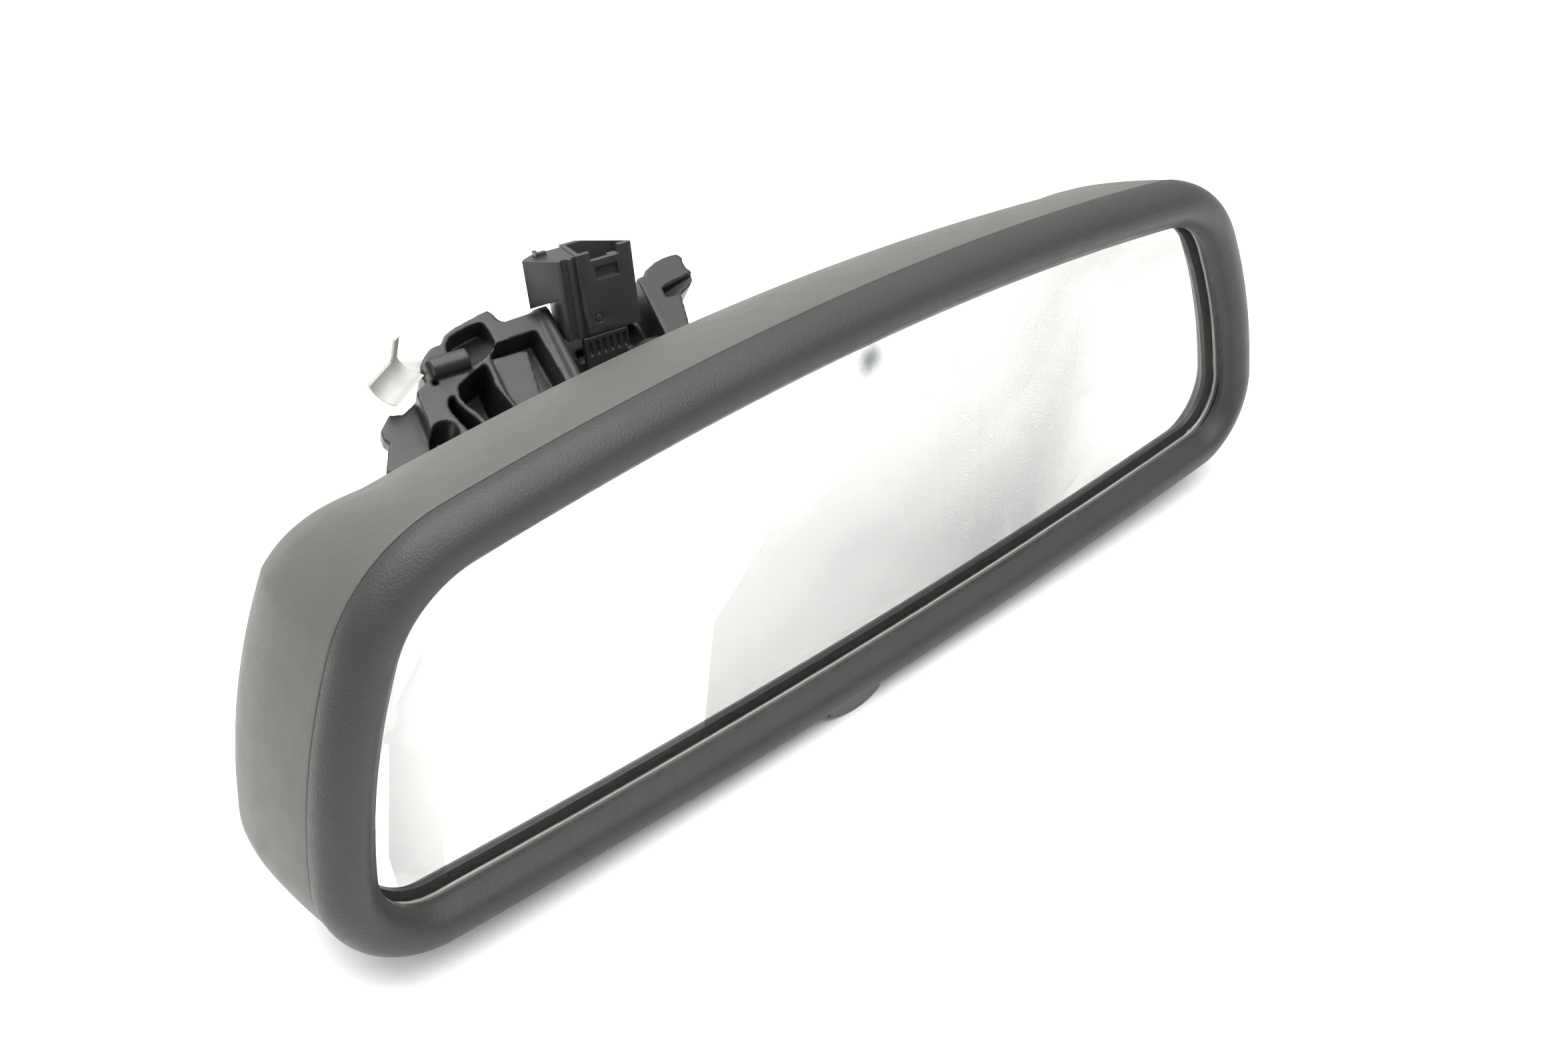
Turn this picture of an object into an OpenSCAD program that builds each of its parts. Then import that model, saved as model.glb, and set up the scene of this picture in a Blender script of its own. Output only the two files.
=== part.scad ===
// Interior rear-view mirror with an auto-dimming glass, a ball joint and a clip-on windscreen foot.
// The foot frame is the part's frame: +X across the foot, +Z up, origin on the windscreen seat.
// Head parts are drawn in the head's own frame: X along the glass, Y from the lip into the head,
// Z up, with the origin in the middle of the glass opening.

/* [Glass opening] */
// Width of the opening between the inner lips of the bezel
opening_w = 226; // [185:1:275]
// Height of the opening on its centre line
opening_h = 67; // [55:0.5:82]
// Radius of the crowned top edge
crown_top_r = 678; // [450:1:1500]
// Radius of the crowned bottom edge
crown_bottom_r = 1620; // [900:10:3000]
// Radius of the two upper corners
corner_top_r = 20.5; // [12:0.5:26]
// Radius of the two lower corners
corner_bottom_r = 10; // [7.5:0.5:14]
// Lean of the side edge where it meets the upper corner
side_lean_top = 28; // [20:1:35]
// Lean of the side edge where it meets the lower corner
side_lean_bottom = 9; // [4:1:14]

/* [Glass stack] */
// How far the lip stands in front of the glass
lip_proud = 1.7; // [1:0.1:3]
// Thickness of each glass plate
glass_t = 1.6; // [1.1:0.1:2.2]
// Thickness of the electrochromic gel between the plates
gel_t = 0.3; // [0.2:0.05:0.6]
// Thickness of the foam bonding pad
pad_t = 1; // [0.5:0.1:2]
// Depth of the front glass edge under the lip
glass_bite = 3.2; // [2.5:0.1:3.6]
// Radius of the tube that carries light to the glare sensor
shroud_r = 3.3; // [2.5:0.1:4.5]
// Distance of that tube below the top edge
sensor_drop = 5.1; // [4.5:0.1:9]

/* [Head shell] */
// Radial width of the bezel ring
bezel_w = 9.45; // [8.6:0.05:12]
// How far the bezel ring bulges in front of its lip
bezel_bulge = 3; // [1:0.1:5]
// Depth of the seam behind the lip
seam_y = 4.2; // [3:0.1:6]
// Width of the open seam between bezel and housing
seam_gap = 0.35; // [0.1:0.05:0.8]
// Depth of the whole head at the flat land round the neck
head_depth = 48; // [44:0.5:58]
// Wall thickness of the rear housing
shell_t = 2.2; // [1.6:0.1:3]
// Clearance between parts that only sit together
fit = 0.15; // [0.1:0.05:0.3]

/* [Ball joint] */
// Radius of the ball
ball_r = 8.5; // [7.5:0.1:10]
// Radius of the stalk behind the ball
stalk_r = 4.2; // [3.6:0.1:5]
// Bore through ball and stalk for the wires
wire_bore_r = 2.4; // [2:0.1:2.8]
// Wall of the seat ring and pressure cup on the ball
cup_t = 1.5; // [1.2:0.1:2]
// Distance from the ball's centre to the windscreen seat, forward
ball_back = 62.2; // [56:0.1:72]
// Sideways offset of the ball from the foot's centre
ball_side = 7.7; // [4:0.1:10]
// Turn of the head on the ball at rest
head_turn = 9; // [-15:1:15]

/* [Foot] */
// Slope of the windscreen seat's normal above the horizontal
rake = 40; // [32:1:48]
// Thickness of the ribbed web
web_t = 18; // [14:0.5:22]
// Depth of the windscreen seat rail along the web's thickness
rail_t = 10; // [7:0.5:12]
// Length of the windscreen seat rail
rail_l = 50; // [40:1:54]
// Width of the steel spring strap
strap_w = 9.5; // [7:0.5:12]
// Thickness of the steel spring strap
strap_t = 0.6; // [0.4:0.1:1]

/* [Connector] */
// Outside width of the plug socket
socket_w = 13.6; // [12:0.1:16]
// Outside depth of the plug socket
socket_d = 9; // [8:0.1:11]
// Height of the plug socket
socket_h = 19.6; // [16:0.1:24]
// Wall of the plug socket
socket_t = 1.2; // [0.9:0.1:1.6]

/* [Hidden] */

$fn = 48;
eps = 0.01;

// ---------- outline of the opening: tangent arcs, from top centre to bottom centre ----------
half_w = opening_w / 2;
bottom_a = acos((half_w - corner_bottom_r) / (crown_bottom_r - corner_bottom_r));
function top_a(side_r) = acos((half_w - corner_top_r * cos(side_lean_top)
    - side_r * (cos(side_lean_bottom) - cos(side_lean_top))
    - corner_bottom_r * (1 - cos(side_lean_bottom))) / (crown_top_r - corner_top_r));
function side_r_for(a) = (opening_h - crown_top_r * (1 - sin(a))
    - corner_top_r * (sin(a) - sin(side_lean_top))
    - corner_bottom_r * (sin(side_lean_bottom) + sin(bottom_a))
    - crown_bottom_r * (1 - sin(bottom_a))) / (sin(side_lean_top) - sin(side_lean_bottom));
function settle(r, n) = n == 0 ? r : settle(side_r_for(top_a(r)), n - 1);
side_r = settle(110, 6);
// each arc: radius, first and last angle of its outward normal, number of steps
arcs = [[crown_top_r, 90, top_a(side_r), 8],
    [corner_top_r, top_a(side_r), side_lean_top, 8],
    [side_r, side_lean_top, side_lean_bottom, 5],
    [corner_bottom_r, side_lean_bottom, -bottom_a, 8],
    [crown_bottom_r, -bottom_a, -90, 7]];
function dir(a) = [cos(a), sin(a)];
function arc_start(k) = k == 0 ? [0, opening_h / 2]
    : arc_start(k - 1) + arcs[k - 1][0] * (dir(arcs[k - 1][2]) - dir(arcs[k - 1][1]));
function arc_points(k) = let (s = arc_start(k), a = arcs[k])
    [for (i = [0:a[3] - 1]) let (t = a[1] + (a[2] - a[1]) * i / a[3])
        [s + a[0] * (dir(t) - dir(a[1])), dir(t)]];
right_side = concat([for (k = [0:len(arcs) - 1]) each arc_points(k)],
    [[[0, arc_start(len(arcs) - 1)[1] + crown_bottom_r * (sin(-90) - sin(-bottom_a))], dir(-90)]]);
left_side = [for (i = [len(right_side) - 2:-1:1]) let (p = right_side[i])
    [[-p[0][0], p[0][1]], [-p[1][0], p[1][1]]]];
// every entry is a point of the outline and its outward normal
outline = concat(right_side, left_side);
top_z = opening_h / 2;
bottom_z = -top_z;

function grown(d) = [for (p = outline) p[0] + d * p[1]];

// plate that follows the outline, grown by d, from depth y over thickness t
module plate(d, y, t) {
    translate([0, y + t, 0]) rotate([90, 0, 0]) linear_extrude(t) polygon(grown(d));
}
module ring_plate(d_out, d_in, y, t) {
    difference() {
        plate(d_out, y, t);
        plate(d_in, y - eps, t + 2 * eps);
    }
}

// closed skin through rings of equal length, the last ring joining the first
module ring_skin(rings) {
    n = len(rings[0]);
    m = len(rings);
    polyhedron(
        points = [for (r = rings) each r],
        faces = [for (j = [0:m - 1], i = [0:n - 1])
            let (a = j * n + i, b = j * n + (i + 1) % n,
                c = ((j + 1) % m) * n + i, d = ((j + 1) % m) * n + (i + 1) % n)
            each [[a, c, b], [b, c, d]]]);
}

// ---------- where the head sits ----------
ball_y = head_depth + 2;
ball_at = [ball_side, -ball_back, -1];
module in_head() {
    translate(ball_at) rotate([0, 0, head_turn]) translate([0, -ball_y, 0]) children();
}
// turned about the head's depth axis through the ball, profile in [radius, depth]
module turned(profile) {
    rotate([-90, 0, 0]) rotate_extrude($fn = 96) polygon(profile);
}

// ---------- where the foot's web sits: X across, Y towards the windscreen, Z out of the web ----------
rail_mid = web_t + rail_t / 2 - 2;
module in_web() {
    rotate([rake, 0, 0]) translate([0, 0, rail_mid]) children();
}

// ---------- glass stack depths ----------
front_y = lip_proud;
gel_y = front_y + glass_t;
mirror_y = gel_y + gel_t;
pad_y = mirror_y + glass_t;
plate_y = pad_y + pad_t;
ledge_y = plate_y + 0.4;
pocket_d = glass_bite + 0.2;
seal_w = 1.4;
sensor_z = top_z - sensor_drop;

// ---------- bezel ----------
skirt_out = bezel_w - shell_t - 1.3;
skirt_t = 1.5;
skirt_y = seam_y + 4.4;
// cross-section in [distance outside the opening, depth], from the lip over the bulge to the skirt
bulge_mid = bezel_w * 0.44;
bulge_y = 2.8;
bulge_r = bulge_y + bezel_bulge;
bulge_arc = [for (a = [216:18:360]) [bulge_mid + (bezel_w - bulge_mid) * cos(a) * (a < 270 ? 0.72 : 1),
    bulge_y + bulge_r * sin(a)]];
bezel_profile = concat([[0, lip_proud], [0, 0.5]], bulge_arc,
    [[bezel_w - 0.1, seam_y], [skirt_out, seam_y], [skirt_out, skirt_y],
    [skirt_out - skirt_t, skirt_y], [skirt_out - skirt_t, ledge_y],
    [pocket_d, ledge_y], [pocket_d, lip_proud]]);
button_x = -11.5;
button_w = 14;
button_y0 = -0.6;
button_y1 = 3.9;
button_proud = 2.1;
button_top = 5.4;
button_travel = 0.6;
shoulder_w = 1.6;
shoulder_t = 1;
shoulder_z = bottom_z - button_top;
leg_w = 8;
leg_z = shoulder_z + 0.55;
module bezel() {
    color([0.13, 0.13, 0.14]) in_head() difference() {
        ring_skin([for (q = bezel_profile) [for (p = outline)
            let (g = p[0] + q[0] * p[1]) [g[0], q[1], g[1]]]]);
        // mouth for the cap, and the wider chamber for its shoulder and rear leg
        translate([button_x - button_w / 2 - fit, button_y0 - fit, bottom_z - bezel_w - 3])
            cube([button_w + 2 * fit, button_y1 - button_y0 + 2 * fit, bezel_w + 3 - button_top]);
        translate([button_x - button_w / 2 - shoulder_w - fit, button_y0 - fit, shoulder_z - fit])
            cube([button_w + 2 * (shoulder_w + fit), button_y1 - button_y0 + 2 * fit,
                shoulder_t + button_travel + 2 * fit]);
        translate([button_x - leg_w / 2 - fit, button_y1 - 0.5 - fit, leg_z - fit])
            cube([leg_w + 2 * fit, skirt_y - button_y1 + 2, shoulder_t + button_travel + 2 * fit]);
    }
}

// ---------- rear housing ----------
// rows: depth, growth at the ends, growth at the top, growth at the bottom, blend towards the neck land
front_row = seam_y + seam_gap;
cup_in = ball_r + 0.05;
cup_out = cup_in + cup_t;
socket_in = cup_out + 0.05;
socket_out = socket_in + 3;
bolt_r = socket_out + 3.3;
hole_r = bolt_r + 2.6;
land_r = hole_r + 4.5;
back_y = head_depth;
housing_rows = [
    [0, bezel_w - 0.1, bezel_w - 0.1, bezel_w - 0.1, 0],
    [0.13, 10.2, 7.9, 8.0, 0],
    [0.27, 10.8, 6.1, 6.4, 0],
    [0.41, 11.0, 4.0, 4.5, 0],
    [0.55, 10.4, 1.6, 2.3, 0],
    [0.66, 9.0, -0.6, 0.1, 0],
    [0.755, 7.0, -2.6, -1.9, 0],
    [0.835, 4.0, -4.6, -4.0, 0],
    [0.9, 0.0, -7.0, -6.4, 0],
    [0.95, -4, -8.2, -7.6, 0.12],
    [0.98, -5, -8.4, -7.8, 0.4],
    [1, -5, -8.4, -7.8, 0.75]];
function row_y(f, t) = front_row + (back_y - t - front_row) * f;
function shell_ring(row, t) = [for (p = outline)
    let (nx = p[1][0], nz = p[1][1],
        d = max(row[1] * nx * nx + (nz > 0 ? row[2] : row[3]) * nz * nz - t, 0.6 - corner_bottom_r),
        g = p[0] + d * p[1],
        a = atan2(g[1], g[0]),
        q = (1 - row[4]) * g + row[4] * land_r * dir(a))
    [q[0], row_y(row[0], t), q[1]]];
function round_ring(r, y) = [for (q = shell_ring(housing_rows[len(housing_rows) - 1], 0))
    let (a = atan2(q[2], q[0])) [r * cos(a), y, r * sin(a)]];
guide_x = 34;
guide_z = 8;
guide_r = 2.5;
module rear_housing() {
    n = len(housing_rows);
    color([0.2, 0.2, 0.19]) in_head() difference() {
        ring_skin(concat(
            [for (r = housing_rows) shell_ring(r, 0)],
            [round_ring(land_r, back_y), round_ring(hole_r, back_y),
            round_ring(hole_r, back_y - shell_t), round_ring(land_r, back_y - shell_t)],
            [for (i = [n - 1:-1:0]) shell_ring(housing_rows[i], shell_t)]));
        translate([guide_x, back_y - 8, guide_z]) rotate([-90, 0, 0])
            cylinder(r = guide_r + fit, h = 12);
    }
}

// ---------- glass, seal, clips and pad ----------
module front_glass() {
    color([0.85, 0.9, 0.88, 0.6]) in_head() plate(glass_bite, front_y, glass_t);
}
module electrochromic_gel() {
    color([0.6, 0.75, 0.65, 0.7]) in_head() plate(glass_bite - 0.8 - seal_w, gel_y, gel_t);
}
module edge_seal() {
    color([0.75, 0.75, 0.72]) in_head()
        ring_plate(glass_bite - 0.8, glass_bite - 0.8 - seal_w, gel_y, gel_t);
}
mirror_d = glass_bite - 0.4;
module mirror_glass() {
    color([0.8, 0.82, 0.82]) in_head() plate(mirror_d, mirror_y, glass_t);
}
clip_t = 0.25;
clip_half_l = 68;
module bus_clip(top) {
    color([0.72, 0.5, 0.3]) in_head() intersection() {
        union() {
            ring_plate(mirror_d + clip_t + 0.03, mirror_d + 0.03, mirror_y + 0.05, glass_t + clip_t);
            ring_plate(mirror_d + clip_t + 0.03, mirror_d - 1.1, pad_y + 0.05, clip_t);
        }
        translate([-clip_half_l, 0, top ? 10 : -60]) cube([2 * clip_half_l, 20, 50]);
    }
}
module bus_clip_top() { bus_clip(true); }
module bus_clip_bottom() { bus_clip(false); }
module bonding_pad() {
    color([0.15, 0.15, 0.16]) in_head() difference() {
        plate(mirror_d - 1.5, pad_y, pad_t);
        translate([0, pad_y - 1, sensor_z]) rotate([-90, 0, 0]) cylinder(r = shroud_r + fit, h = 4);
    }
}

// ---------- carrier plate and circuit board ----------
plate_t = 1.8;
board_y = ledge_y + plate_t + 4.5;
board_t = 1.6;
board_half_w = 50;
board_low = -20;
board_high = sensor_z + 3;
post_r = 3;
screw_r = 1;
posts = [for (x = [-1, 1], z = [-14, 20]) [x * 44, z]];
module through_y(x, z, r, y, h) {
    translate([x, y, z]) rotate([-90, 0, 0]) cylinder(r = r, h = h, $fn = 32);
}
module carrier_plate() {
    color([0.25, 0.25, 0.26]) in_head() difference() {
        union() {
            plate(mirror_d - 0.6, plate_y, ledge_y - plate_y);
            plate(skirt_out - skirt_t - fit, ledge_y, plate_t);
            for (p = posts) through_y(p[0], p[1], post_r, ledge_y + plate_t, 4.5);
            // stiffening ribs along the plate
            for (z = [-24, 27])
                translate([-80, ledge_y + plate_t, z]) cube([58, 3.2, 1.4]);
            for (z = [-24, 27])
                translate([22, ledge_y + plate_t, z]) cube([58, 3.2, 1.4]);
        }
        through_y(0, sensor_z, shroud_r + fit, plate_y - 1, 8);
        for (p = posts) through_y(p[0], p[1], screw_r, ledge_y + 0.6, 8);
        // relief above the button's rear leg
        translate([button_x - 6, plate_y - 1, bottom_z - 12]) cube([12, 8, 13]);
    }
}
tab_low = -30.5;
module circuit_board() {
    color([0.08, 0.3, 0.16]) in_head() difference() {
        union() {
            translate([-board_half_w, board_y, board_low])
                cube([2 * board_half_w, board_t, board_high - board_low]);
            translate([button_x - 8, board_y, tab_low]) cube([16, board_t, 12]);
        }
        for (p = posts) through_y(p[0], p[1], screw_r + 0.2, board_y - 1, 4);
    }
}
module board_screws() {
    color([0.75, 0.75, 0.78]) in_head() for (p = posts) difference() {
        union() {
            through_y(p[0], p[1], screw_r - 0.03, ledge_y + 1, board_y + board_t - ledge_y - 1);
            through_y(p[0], p[1], 2, board_y + board_t, 1.4);
        }
        for (a = [0, 90]) translate([p[0], board_y + board_t + 1.4, p[1]]) rotate([0, a, 0])
            translate([-0.3, -0.8, -1.2]) cube([0.6, 1, 2.4]);
    }
}
module glare_sensor() {
    color([0.1, 0.1, 0.12]) in_head() {
        translate([-2, board_y - 1.6, sensor_z - 2]) cube([4, 1.6, 4]);
        through_y(0, sensor_z, 1.2, board_y - 2.2, 0.7);
    }
}
module sensor_shroud() {
    color([0.3, 0.32, 0.36]) in_head() difference() {
        through_y(0, sensor_z, shroud_r, pad_y, board_y - 2.4 - pad_y);
        through_y(0, sensor_z, shroud_r - 0.8, pad_y - 1, 20);
    }
}
module ambient_sensor() {
    color([0.1, 0.1, 0.12]) in_head()
        translate([guide_x - 2, board_y + board_t, guide_z - 2]) cube([4, 1.4, 4]);
}
module ambient_light_guide() {
    color([0.8, 0.85, 0.9, 0.5]) in_head()
        through_y(guide_x, guide_z, guide_r, board_y + board_t + 1.6, back_y - board_y - board_t - 1.9);
}
chip_y = board_y + board_t;
module microcontroller() {
    color([0.08, 0.08, 0.09]) in_head() {
        translate([-34.5, chip_y, 3.5]) cube([9, 1.3, 9]);
        for (i = [0:7], s = [-1, 1]) {
            translate([-33.8 + i * 1.05, chip_y, 8 + s * 5.1 - 0.6]) cube([0.4, 0.3, 1.2]);
            translate([-30 + s * 5.1 - 0.6, chip_y, 4.2 + i * 1.05]) cube([1.2, 0.3, 0.4]);
        }
    }
}
module small_chips() {
    color([0.1, 0.1, 0.1]) in_head() {
        for (i = [0:4]) translate([-20 + i * 5, chip_y, 23]) cube([3, 1, 1.6]);
        for (i = [0:3]) translate([16 + i * 5, chip_y, -8]) cube([3.2, 1, 1.6]);
        translate([17, chip_y, 16]) cube([6, 1.6, 5]);
    }
}
module capacitors() {
    color([0.7, 0.72, 0.75]) in_head() for (i = [0:2]) difference() {
        through_y(-30 + i * 8, -10, 2.6, chip_y, 6.5);
        through_y(-30 + i * 8, -10, 2, chip_y + 6.2, 1);
    }
}
header_x = 12;
header_z = 6;
module board_header() {
    color([0.85, 0.84, 0.78]) in_head() difference() {
        translate([header_x - 6, chip_y, header_z - 3]) cube([12, 6, 6]);
        translate([header_x - 5, chip_y + 2, header_z - 2]) cube([10, 5, 4]);
    }
}

// ---------- mode button and its switch ----------
nub_y = board_y - 2.2;
module mode_button() {
    cap_z = bottom_z - bezel_w - button_proud;
    color([0.2, 0.2, 0.21]) in_head() {
        // crowned cap
        translate([button_x, 0, 0]) intersection() {
            translate([-button_w / 2, button_y0, cap_z])
                cube([button_w, button_y1 - button_y0, shoulder_z + shoulder_t - cap_z]);
            translate([0, button_y1 + 1, cap_z + 14]) rotate([90, 0, 0])
                cylinder(r = 14, h = button_y1 - button_y0 + 2, $fn = 96);
        }
        // shoulder that stops the cap in its slot
        translate([button_x - button_w / 2 - shoulder_w + fit, button_y0, shoulder_z])
            cube([button_w + 2 * shoulder_w - 2 * fit, button_y1 - button_y0, shoulder_t]);
        // rear leg and the nub that works the switch
        translate([button_x - leg_w / 2, button_y1 - 0.5, leg_z])
            cube([leg_w, nub_y + 1.4 - button_y1 + 0.5, shoulder_t]);
        translate([button_x - 1.5, nub_y - 0.2, leg_z])
            cube([3, 1.6, tab_low - 2 - leg_z]);
    }
}
module mode_switch() {
    color([0.6, 0.6, 0.62]) in_head() {
        translate([button_x - 3, board_y - 3.6, tab_low + 0.1]) cube([6, 3.6, 3.6]);
        translate([button_x, nub_y + 0.4, tab_low - 1]) cylinder(r = 1, h = 1.2, $fn = 32);
    }
}

// ---------- ball socket in the head ----------
cup_front = ball_y - cup_out * cos(42);
cap_y = ball_y - cup_out - 0.9;
function ball_arc(r, a0, a1, n) = [for (i = [0:n]) let (a = a0 + (a1 - a0) * i / n)
    [r * sin(a), ball_y + r * cos(a)]];
flange_r = hole_r + 3.5;
flange_y = back_y - shell_t;
module socket_housing() {
    color([0.22, 0.22, 0.23]) in_head() difference() {
        turned(concat([[socket_in, cap_y]], ball_arc(socket_in, 90, 57, 8),
            [[socket_in * sin(57) + 0.9, ball_y + socket_in * cos(57) + 1.4],
            [socket_out, ball_y + 5.6], [socket_out, flange_y], [flange_r, flange_y],
            [flange_r, flange_y - 2.6], [socket_out, flange_y - 2.6], [socket_out, cap_y]]));
        for (a = [45:90:315])
            through_y(bolt_r * cos(a), bolt_r * sin(a), bolt_hole_r, flange_y - 4, 8);
    }
}
bolt_hole_r = 1.3;
module seat_ring() {
    color([0.85, 0.84, 0.8]) in_head()
        turned(concat(ball_arc(cup_in, 60, 86, 8), ball_arc(cup_out, 86, 60, 8)));
}
module pressure_cup() {
    color([0.8, 0.79, 0.74]) in_head()
        turned(concat(ball_arc(cup_in, 104, 138, 8), ball_arc(cup_out, 138, 104, 8)));
}
module pressure_spring() {
    s = cup_out * sin(42) + 0.3;
    color([0.72, 0.73, 0.76]) in_head()
        turned([[s, cup_front - 0.9], [s + 0.4, cup_front - 0.4], [socket_in - 0.2, cap_y + 0.9],
            [socket_in - 0.2, cap_y + 0.1], [socket_in - 0.7, cap_y + 0.1]]);
}
module socket_cap() {
    color([0.3, 0.3, 0.31]) in_head()
        turned([[6, cap_y - 2.2], [socket_out, cap_y - 2.2], [socket_out, cap_y], [6, cap_y]]);
}
boss_r = 2.4;
module socket_screws() {
    color([0.75, 0.75, 0.78]) in_head() for (a = [45:90:315])
        translate([bolt_r * cos(a), 0, bolt_r * sin(a)]) difference() {
            union() {
                through_y(0, 0, 2.1, flange_y - 2.6 - 1.7, 1.7);
                through_y(0, 0, 1.08, flange_y - 2.7, 8);
            }
            for (t = [0, 90]) translate([0, flange_y - 2.6 - 1.7, 0]) rotate([0, t, 0])
                translate([-0.3, -0.1, -1.3]) cube([0.6, 1, 2.6]);
        }
}
neck_h = 14.5;
mouth_r = 11.2;
module neck_cover() {
    w = 1.7;
    color([0.14, 0.14, 0.14]) in_head() difference() {
        union() {
            turned([[mouth_r, back_y + neck_h - w], [mouth_r, back_y + neck_h],
                [mouth_r + 2.4, back_y + neck_h - 0.6], [land_r - 7.1, back_y + 10.2],
                [land_r - 4.7, back_y + 6], [land_r - 2.9, back_y + 2.6], [land_r - 0.3, back_y + 1.4], [land_r - 0.3, back_y],
                [land_r - 4.3, back_y], [land_r - 5.7, back_y + 3.4], [land_r - 6.9, back_y + 6.2],
                [land_r - 8.9, back_y + 9]]);
            for (a = [45:90:315])
                through_y(bolt_r * cos(a), bolt_r * sin(a), boss_r, flange_y + 0.02, shell_t + 4.4);
        }
        for (a = [45:90:315])
            through_y(bolt_r * cos(a), bolt_r * sin(a), 1.1, flange_y - 1, 8);
    }
}

// ---------- leads ----------
lead_r = 1.45;
// smooth run through four control points
function bend(a, b, c, d, n) = [for (i = [0:n]) let (t = i / n, s = 1 - t)
    s * s * s * a + 3 * s * s * t * b + 3 * s * t * t * c + t * t * t * d];
// round tube along a run of points; up is any direction the run never takes
module tube(run, r, up) {
    n = 14;
    m = len(run);
    rings = [for (i = [0:m - 1])
        let (d = run[min(i + 1, m - 1)] - run[max(i - 1, 0)],
            u = cross(d, up) / norm(cross(d, up)), v = cross(u, d) / norm(d))
        [for (k = [0:n - 1]) run[i] + r * cos(360 * k / n) * u + r * sin(360 * k / n) * v]];
    polyhedron(
        points = [for (q = rings) each q],
        faces = concat([[for (k = [0:n - 1]) k]], [[for (k = [n - 1:-1:0]) (m - 1) * n + k]],
            [for (j = [0:m - 2], k = [0:n - 1])
                let (a = j * n + k, b = j * n + (k + 1) % n, c = a + n, d = b + n)
                each [[a, c, b], [b, c, d]]]));
}
head_run = bend([0, ball_y - 3, 0], [0, ball_y - 20, -1], [header_x, ball_y - 12, header_z],
    [header_x, chip_y + 4, header_z], 16);
module head_lead() {
    color([0.07, 0.07, 0.07]) in_head() tube(head_run, lead_r, [0, 0, 1]);
}

// ---------- ball and stalk ----------
root_y = -36;
stalk_end = -28.6;
stalk_l = stalk_end - ball_at[1];
ball_flat = ball_r * 0.78;
module ball_stalk() {
    color([0.55, 0.56, 0.58]) translate(ball_at) difference() {
        rotate([-90, 0, 0]) rotate_extrude($fn = 96) difference() {
            union() {
                intersection() {
                    circle(r = ball_r, $fn = 96);
                    translate([0, -ball_flat]) square([20, 30]);
                }
                square([stalk_r, stalk_l]);
            }
            translate([-1, -20]) square([1 + wire_bore_r, 90]);
            // mouth that lets the lead swing with the head
            polygon([[0, 0], [wire_bore_r, 0], [5.4, -ball_flat - 0.1], [0, -ball_flat - 0.1]]);
        }
        // cross hole for the stalk screw
        translate([0, root_y + 3.8 - ball_at[1], -10]) cylinder(r = 1.3, h = 10 - wire_bore_r + 0.5, $fn = 32);
    }
}

// ---------- foot carrier: a ribbed web with a left wing, two arms and the seat rail ----------
gap_l = -10.4;
gap_r = 12.6;
web_low = -34;
wing = [[-58, -27.5], [-54.8, -21.2], [-55.5, -20], [-55.3, -17.8], [-52.2, -14.8], [-49.4, -15.6],
    [-43.3, -12.8], [-43.5, -10.5], [-42.7, -8.4], [-41.2, -6.6], [-39.4, -5.3], [-37.8, -4.9],
    [-36.7, -5], [-35, -3.1], [-32.4, -2.1], [-28.8, -1.3], [-25.4, -0.5], [-23.8, -0.3],
    [-23, -1], [-22.2, -3.2], [-21.2, -4.1], [-15.3, -3.9], [-13.1, -3.2], [gap_l, -3.2],
    [gap_l, web_low], [-44, web_low], [-50, -28.6]];
arm = [[gap_r, web_low], [gap_r, -3.3], [14.8, -3.1], [15.3, -2.1], [18.9, -0.5], [22.2, 0],
    [24, 0], [25.1, -0.4], [25.7, -1.6], [25.3, -2.6], [25.5, -4.6], [26.2, -5.6], [26.2, -7],
    [25.4, -7.9], [24.2, -8.5], [21.2, -9.6], [20.6, -12.4], [19.8, -16.3], [19.4, -18], [22, web_low]];
// pockets: the two behind the curved ribs, the sunk panel and the hollow in the wing's shoulder
pocket_a = [[-37, -15.7], [-33, -13.7], [-29.3, -12.4], [-29.2, -15.2], [-29.5, -18], [-28.9, -20.7],
    [-28, -24], [-27.2, web_low + 2.5], [-33.6, web_low + 2.5], [-34.4, -26], [-35.3, -23.3],
    [-37, -20.6], [-37.7, -18.3]];
pocket_b = [[-38.8, -17.2], [-40.2, -17.8], [-40.9, -19.4], [-40.6, -21.6], [-39.6, -24.6],
    [-38.8, -27], [-38.4, web_low + 3], [-35.2, web_low + 3], [-35.8, -26.2], [-36.5, -24],
    [-37.9, -21.4], [-38.8, -19.2]];
pocket_c = [[-27.6, -11.2], [-25, -8.6], [-15.4, -8.4], [-13.8, web_low + 2.5], [-25.6, web_low + 2.5],
    [-27.9, -20]];
panel = [[-27, -11.2], [-18.6, -11.7], [-20.2, -22.2], [-22.6, web_low + 2], [-26, web_low + 2],
    [-27.4, -20]];
shoulder = [[-36, -7.2], [-35.4, -5.2], [-34, -4], [-31.6, -3.3], [-28.4, -2.7], [-26.6, -2.6],
    [-25.8, -3.3], [-25.5, -5.2], [-25.3, -8.2], [-26.2, -9.8], [-29.9, -11.6], [-33.3, -12.3],
    [-36, -11.5]];
module web_layer(points, low, high) {
    translate([0, 0, low]) linear_extrude(high - low) polygon(points);
}
root_r = 5.8;
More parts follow.
